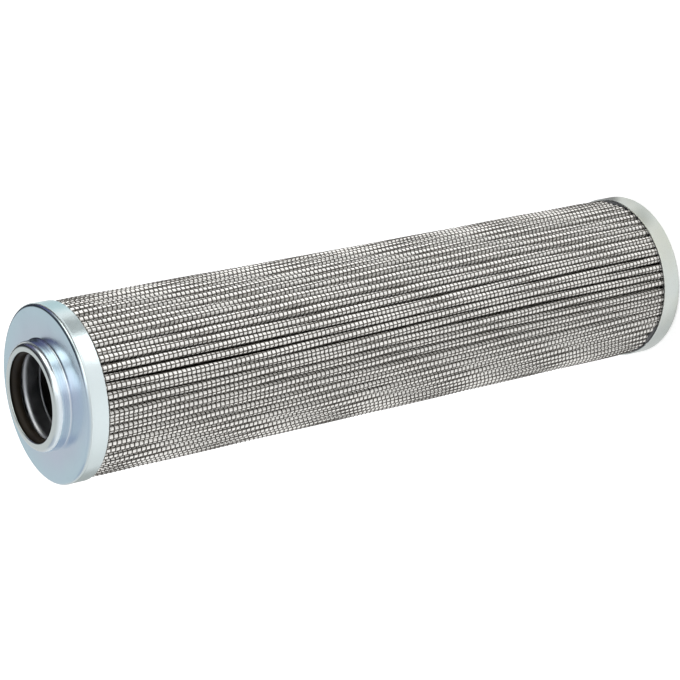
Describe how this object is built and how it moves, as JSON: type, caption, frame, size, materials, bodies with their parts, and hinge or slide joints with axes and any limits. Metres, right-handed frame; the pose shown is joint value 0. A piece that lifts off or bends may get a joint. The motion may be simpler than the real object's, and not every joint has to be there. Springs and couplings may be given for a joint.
{
  "type": "pleated hydraulic filter element",
  "caption": "Round pleated hydraulic filter element with a wire-cloth outside, a closed end cap, and an open end cap with a short sealed neck.",
  "frame": {"origin": "centre of the closed end cap's outer face, on which the element stands", "axes": "+Z along the element's axis, from the closed end towards the neck"},
  "size_m": [0.0494, 0.0494, 0.21],
  "materials": {
    "zinc_cap": "bright zinc plate with a faint blue tint",
    "zinc_sleeve": "zinc plate",
    "seal_rubber": "black nitrile rubber",
    "core_steel": "dark phosphated sheet",
    "coated_wire": "dark brown epoxy coat on woven wire",
    "glass_fibre": "near-white glass fibre between fleeces",
    "inner_wire": "dark brown epoxy coat on woven wire",
    "adhesive": "cured dark epoxy adhesive"
  },
  "bodies": {
    "root": {"front_end_cap": "zinc_cap", "back_end_cap": "zinc_cap", "neck_seal_ring": "seal_rubber", "guide_sleeve": "zinc_sleeve", "core_tube": "core_steel", "outer_wire_cloth": "coated_wire", "filter_medium": "glass_fibre", "inner_wire_cloth": "inner_wire", "side_seam": "adhesive", "front_adhesive": "adhesive", "back_adhesive": "adhesive"}
  },
  "joints": []
}
